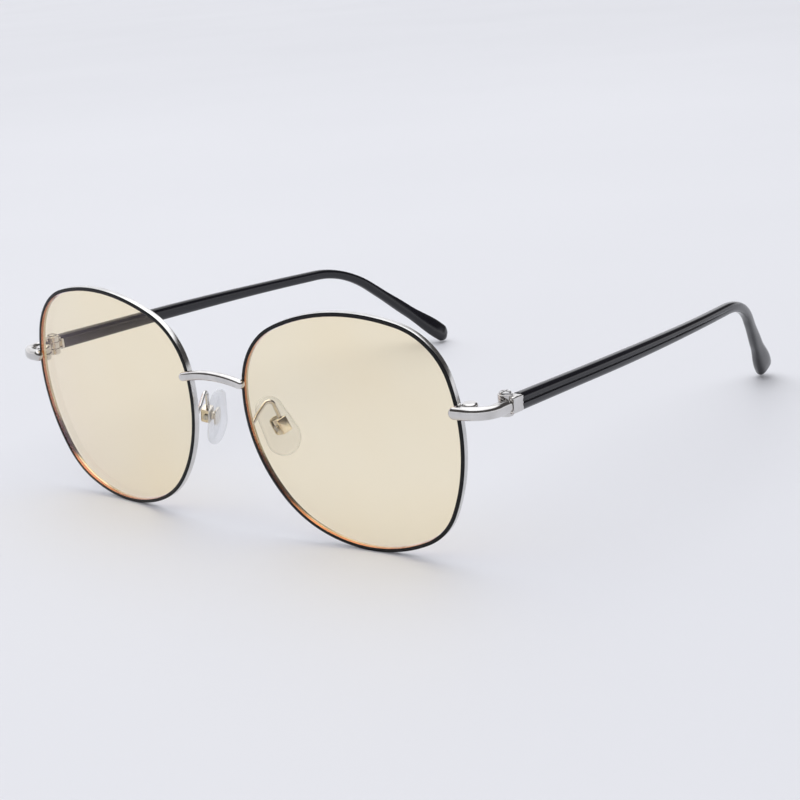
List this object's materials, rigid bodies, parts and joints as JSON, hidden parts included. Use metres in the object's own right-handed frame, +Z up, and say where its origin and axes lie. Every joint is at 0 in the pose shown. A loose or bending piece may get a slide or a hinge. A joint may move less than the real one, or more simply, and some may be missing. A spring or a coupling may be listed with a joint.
{
  "type": "blue light glasses",
  "caption": "Full-rim metal glasses with lightly tinted blue light lenses, adjustable nose pads and folding temples with black sleeves.",
  "frame": {"origin": "On the surface the glasses stand on, in the middle of their footprint", "axes": "+X towards the wearer's left, +Y back along the temples, +Z up; the front faces -Y"},
  "size_m": [0.1338, 0.1536, 0.0503],
  "materials": {
    "bridge_silver": "polished",
    "fitting_silver": "polished",
    "rim_enamel": "gloss black enamel on the front, polished metal outer wall, copper coloured inner wall",
    "lens_tint": "polished resin with a pale amber blue-light filter and an anti-reflection coating",
    "screw_steel": "machined",
    "core_steel": "drawn wire",
    "sleeve_black": "polished acetate",
    "pad_metal": "polished, faintly gold",
    "pad_clear": "clear silicone"
  },
  "bodies": {
    "front": {"bridge": "bridge_silver", "rim_left": "rim_enamel", "lens_left": "lens_tint", "rim_lock_upper_left": "fitting_silver", "rim_lock_lower_left": "fitting_silver", "rim_screw_left": "screw_steel", "end_piece_left": "fitting_silver", "hinge_front_left": "fitting_silver", "hinge_screw_left": "screw_steel", "pad_arm_left": "pad_metal", "pad_box_left": "pad_metal", "pad_screw_left": "screw_steel", "rim_right": "rim_enamel", "lens_right": "lens_tint", "rim_lock_upper_right": "fitting_silver", "rim_lock_lower_right": "fitting_silver", "rim_screw_right": "screw_steel", "end_piece_right": "fitting_silver", "hinge_front_right": "fitting_silver", "hinge_screw_right": "screw_steel", "pad_arm_right": "pad_metal", "pad_box_right": "pad_metal", "pad_screw_right": "screw_steel"},
    "temple_left": {"hinge_temple_left": "fitting_silver", "temple_cap_left": "fitting_silver", "temple_core_left": "core_steel", "temple_sleeve_left": "sleeve_black"},
    "temple_right": {"hinge_temple_right": "fitting_silver", "temple_cap_right": "fitting_silver", "temple_core_right": "core_steel", "temple_sleeve_right": "sleeve_black"},
    "pad_left": {"nose_pad_left": "pad_clear", "pad_insert_left": "pad_metal"},
    "pad_right": {"nose_pad_right": "pad_clear", "pad_insert_right": "pad_metal"}
  },
  "joints": [
    {"name": "temple_left_fold", "type": "hinge", "parent": "front", "child": "temple_left", "pos_m": [0.064, -0.06261, 0.032], "axis": [0, 0, 1], "range_deg": [0, 86]},
    {"name": "temple_right_fold", "type": "hinge", "parent": "front", "child": "temple_right", "pos_m": [-0.064, -0.06261, 0.032], "axis": [0, 0, -1], "range_deg": [0, 76]},
    {"name": "nose_pad_left_rock", "type": "hinge", "parent": "front", "child": "pad_left", "pos_m": [0.01056, -0.06732, 0.02262], "axis": [-0.2547, -0.9196, -0.2992], "range_deg": [-8, 8]},
    {"name": "nose_pad_right_rock", "type": "hinge", "parent": "front", "child": "pad_right", "pos_m": [-0.01056, -0.06732, 0.02262], "axis": [0.2547, -0.9196, -0.2992], "range_deg": [-8, 8]}
  ]
}
